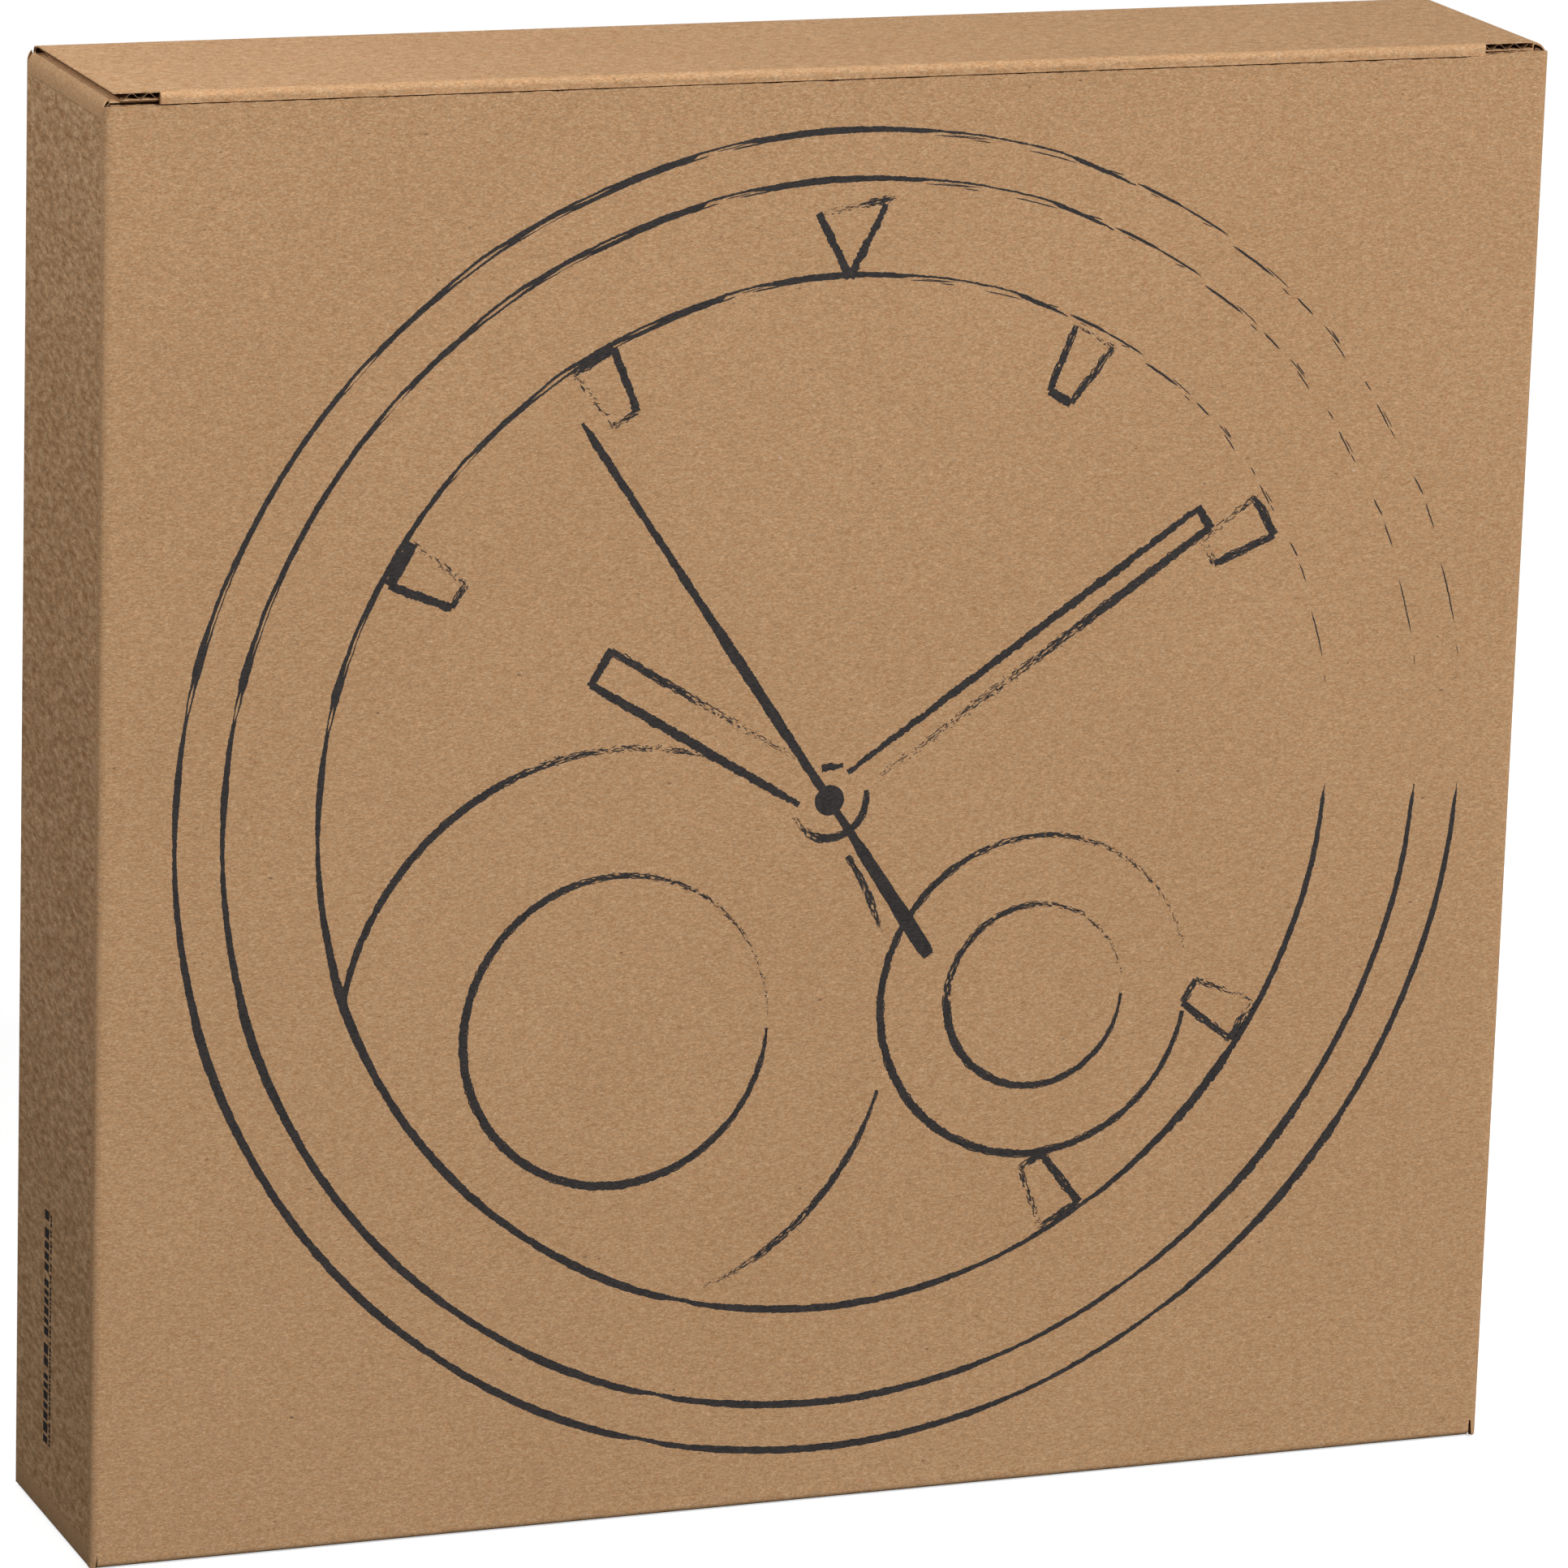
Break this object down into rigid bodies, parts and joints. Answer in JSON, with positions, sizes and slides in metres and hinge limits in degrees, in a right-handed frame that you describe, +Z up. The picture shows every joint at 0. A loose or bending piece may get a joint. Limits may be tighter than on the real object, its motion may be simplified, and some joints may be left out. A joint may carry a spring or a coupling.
{
  "type": "boxed wall clock",
  "caption": "Round quartz wall clock with weather sub-dials, packed in its closed fluted-board carton with tuck closures and a brush drawing of the dial on the front.",
  "frame": {"origin": "centre of the carton's base, on the surface that it stands on", "axes": "+Z up, +X to the right seen from the printed front, +Y from the printed front to the back"},
  "size_m": [0.32, 0.058, 0.313],
  "materials": {
    "kraft_board": "matte",
    "moulded_pulp": "matte",
    "rim_steel": "satin",
    "clear_glass": "gloss",
    "black_rubber": "matte",
    "dial_white": "matte",
    "black_plastic": "matte",
    "white_plastic": "satin",
    "bare_steel": "satin",
    "spun_steel": "satin",
    "black_metal": "satin",
    "brass": "polished",
    "copper_winding": "satin",
    "cell_jacket": "satin",
    "circuit_green": "satin",
    "printed_ink": "matte"
  },
  "bodies": {
    "carton": {"front_panel": "kraft_board", "back_panel": "kraft_board", "left_panel": "kraft_board", "right_panel": "kraft_board", "glue_flap": "kraft_board", "front_pad": "kraft_board", "rear_pad": "kraft_board", "corner_buffer_top_left": "moulded_pulp", "corner_buffer_top_right": "moulded_pulp", "corner_buffer_bottom_left": "moulded_pulp", "corner_buffer_bottom_right": "moulded_pulp", "case_rim": "rim_steel", "glass": "clear_glass", "glass_gasket": "black_rubber", "chapter_ring": "dial_white", "dial_plate": "dial_white", "spacer_ring": "black_plastic", "back_cover": "black_plastic", "wall_hanger": "bare_steel", "case_screws": "bare_steel", "hour_markers": "black_metal", "thermometer_ring": "spun_steel", "thermometer_cup": "black_plastic", "thermometer_face": "dial_white", "thermometer_coil": "brass", "hygrometer_ring": "spun_steel", "hygrometer_cup": "black_plastic", "hygrometer_face": "dial_white", "hygrometer_coil": "brass", "hub_nut": "bare_steel", "hub_washer": "bare_steel", "movement_case": "black_plastic", "movement_back": "black_plastic", "gear_bridge": "brass", "motor_stator": "bare_steel", "motor_coil": "copper_winding", "battery": "cell_jacket", "battery_contacts": "brass", "circuit_board": "circuit_green"},
    "top_closure": {"top_panel": "kraft_board"},
    "top_tuck": {"top_tuck_flap": "kraft_board"},
    "top_dust_left": {"top_dust_flap_left": "kraft_board"},
    "top_dust_right": {"top_dust_flap_right": "kraft_board"},
    "bottom_closure": {"bottom_panel": "kraft_board"},
    "bottom_tuck": {"bottom_tuck_flap": "kraft_board"},
    "bottom_dust_left": {"bottom_dust_flap_left": "kraft_board"},
    "bottom_dust_right": {"bottom_dust_flap_right": "kraft_board"},
    "hour_arbor": {"hour_hand": "black_metal", "hour_wheel": "white_plastic"},
    "minute_arbor": {"minute_hand": "black_metal", "minute_train": "white_plastic"},
    "second_arbor": {"second_hand": "black_metal", "second_train": "white_plastic"},
    "third_arbor": {"third_wheel": "white_plastic"},
    "motion_arbor": {"motion_wheel": "white_plastic"},
    "knob_arbor": {"set_knob": "white_plastic"},
    "intermediate_arbor": {"intermediate_wheel": "white_plastic"},
    "rotor_arbor": {"motor_rotor": "bare_steel"},
    "thermometer_arbor": {"thermometer_pointer": "black_metal"},
    "hygrometer_arbor": {"hygrometer_pointer": "black_metal"}
  },
  "joints": [
    {"name": "top_closure_fold", "type": "hinge", "parent": "carton", "child": "top_closure", "pos_m": [0, 0.0272, 0.3112], "axis": [-1, 0, 0], "range_deg": [0, 180]},
    {"name": "top_tuck_fold", "type": "hinge", "parent": "top_closure", "child": "top_tuck", "pos_m": [0, -0.027, 0.3112], "axis": [1, 0, 0], "range_deg": [0, 45]},
    {"name": "top_dust_left_fold", "type": "hinge", "parent": "carton", "child": "top_dust_left", "pos_m": [-0.1582, 0, 0.3093], "axis": [0, -1, 0], "range_deg": [0, 90]},
    {"name": "top_dust_right_fold", "type": "hinge", "parent": "carton", "child": "top_dust_right", "pos_m": [0.1582, 0, 0.3093], "axis": [0, 1, 0], "range_deg": [0, 90]},
    {"name": "bottom_closure_fold", "type": "hinge", "parent": "carton", "child": "bottom_closure", "pos_m": [0, -0.0272, 0.0018], "axis": [-1, 0, 0], "range_deg": [0, 180]},
    {"name": "bottom_tuck_fold", "type": "hinge", "parent": "bottom_closure", "child": "bottom_tuck", "pos_m": [0, 0.027, 0.0018], "axis": [1, 0, 0], "range_deg": [0, 45]},
    {"name": "bottom_dust_left_fold", "type": "hinge", "parent": "carton", "child": "bottom_dust_left", "pos_m": [-0.1582, 0, 0.0037], "axis": [0, 1, 0], "range_deg": [0, 90]},
    {"name": "bottom_dust_right_fold", "type": "hinge", "parent": "carton", "child": "bottom_dust_right", "pos_m": [0.1582, 0, 0.0037], "axis": [0, -1, 0], "range_deg": [0, 90]},
    {"name": "second_spin", "type": "hinge", "parent": "carton", "child": "second_arbor", "pos_m": [0, 0, 0.1565], "axis": [0, 1, 0], "continuous": true},
    {"name": "minute_spin", "type": "hinge", "parent": "carton", "child": "minute_arbor", "pos_m": [0, 0, 0.1565], "axis": [0, 1, 0], "continuous": true},
    {"name": "hour_spin", "type": "hinge", "parent": "carton", "child": "hour_arbor", "pos_m": [0, 0, 0.1565], "axis": [0, 1, 0], "continuous": true},
    {"name": "third_spin", "type": "hinge", "parent": "carton", "child": "third_arbor", "pos_m": [0.01224, 0, 0.1565], "axis": [0, 1, 0], "continuous": true},
    {"name": "motion_spin", "type": "hinge", "parent": "carton", "child": "motion_arbor", "pos_m": [-0.0096, 0, 0.1565], "axis": [0, 1, 0], "continuous": true},
    {"name": "knob_spin", "type": "hinge", "parent": "carton", "child": "knob_arbor", "pos_m": [-0.01639, 0, 0.14971], "axis": [0, 1, 0], "continuous": true},
    {"name": "intermediate_spin", "type": "hinge", "parent": "carton", "child": "intermediate_arbor", "pos_m": [0, 0, 0.1661], "axis": [0, 1, 0], "continuous": true},
    {"name": "rotor_spin", "type": "hinge", "parent": "carton", "child": "rotor_arbor", "pos_m": [0.0063, 0, 0.1661], "axis": [0, 1, 0], "continuous": true},
    {"name": "thermometer_swing", "type": "hinge", "parent": "carton", "child": "thermometer_arbor", "pos_m": [-0.0495, 0, 0.1075], "axis": [0, 1, 0], "range_deg": [-60, 130]},
    {"name": "hygrometer_swing", "type": "hinge", "parent": "carton", "child": "hygrometer_arbor", "pos_m": [0.0495, 0, 0.1075], "axis": [0, 1, 0], "range_deg": [-130, 100]}
  ],
  "couplings": [
    {"joint": "top_tuck_fold", "follows": "top_closure_fold", "ratio": 0.25},
    {"joint": "top_dust_left_fold", "follows": "top_closure_fold", "ratio": 0.5},
    {"joint": "top_dust_right_fold", "follows": "top_closure_fold", "ratio": 0.5},
    {"joint": "bottom_tuck_fold", "follows": "bottom_closure_fold", "ratio": 0.25},
    {"joint": "bottom_dust_left_fold", "follows": "bottom_closure_fold", "ratio": 0.5},
    {"joint": "bottom_dust_right_fold", "follows": "bottom_closure_fold", "ratio": 0.5},
    {"joint": "minute_spin", "follows": "second_spin", "ratio": 0.016667},
    {"joint": "hour_spin", "follows": "second_spin", "ratio": 0.0013889},
    {"joint": "third_spin", "follows": "second_spin", "ratio": -0.13333},
    {"joint": "motion_spin", "follows": "second_spin", "ratio": -0.0055556},
    {"joint": "knob_spin", "follows": "second_spin", "ratio": 0.016667},
    {"joint": "intermediate_spin", "follows": "second_spin", "ratio": -5},
    {"joint": "rotor_spin", "follows": "second_spin", "ratio": 30}
  ]
}
